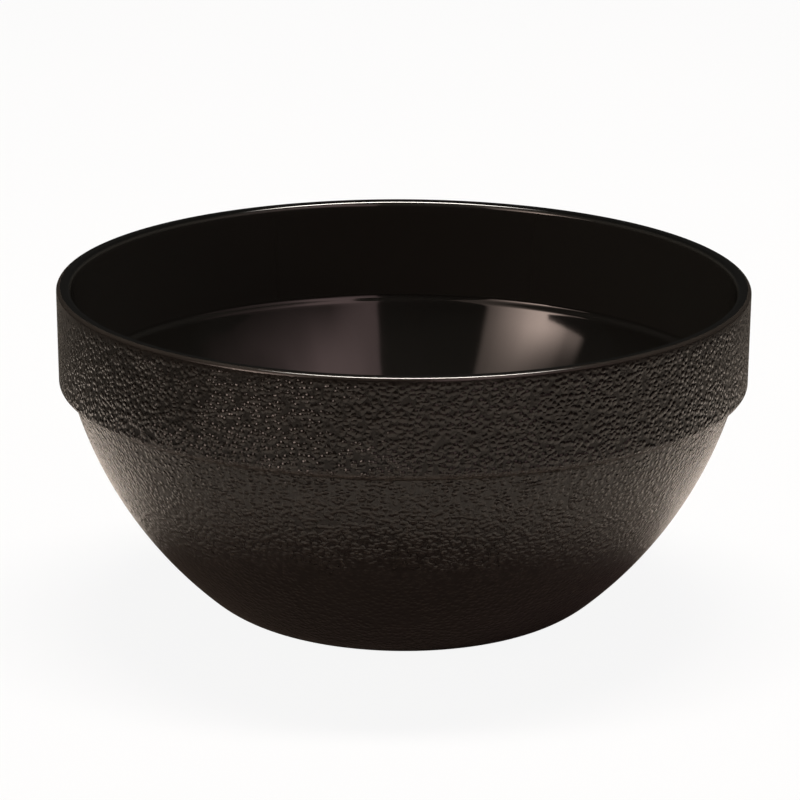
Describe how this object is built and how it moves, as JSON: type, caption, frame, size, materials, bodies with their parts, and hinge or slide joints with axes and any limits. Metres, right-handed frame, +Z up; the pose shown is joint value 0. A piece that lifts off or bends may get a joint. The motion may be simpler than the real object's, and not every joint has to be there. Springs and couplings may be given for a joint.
{
  "type": "serving bowl",
  "caption": "Round stacking serving bowl in black moulded plastic, with a deep upright collar, a stepped shoulder, a smooth inside and a pebbled outside.",
  "frame": {"origin": "centre of the face that the foot ring rests on", "axes": "+Z up along the bowl's axis, out of its mouth; the bowl is round, so +X and +Y are any two directions across it"},
  "size_m": [0.2031, 0.2032, 0.0984],
  "materials": {
    "moulded_plastic": "polished inside and on the rim, pebbled leather grain outside"
  },
  "bodies": {
    "root": {"bowl": "moulded_plastic"}
  },
  "joints": []
}
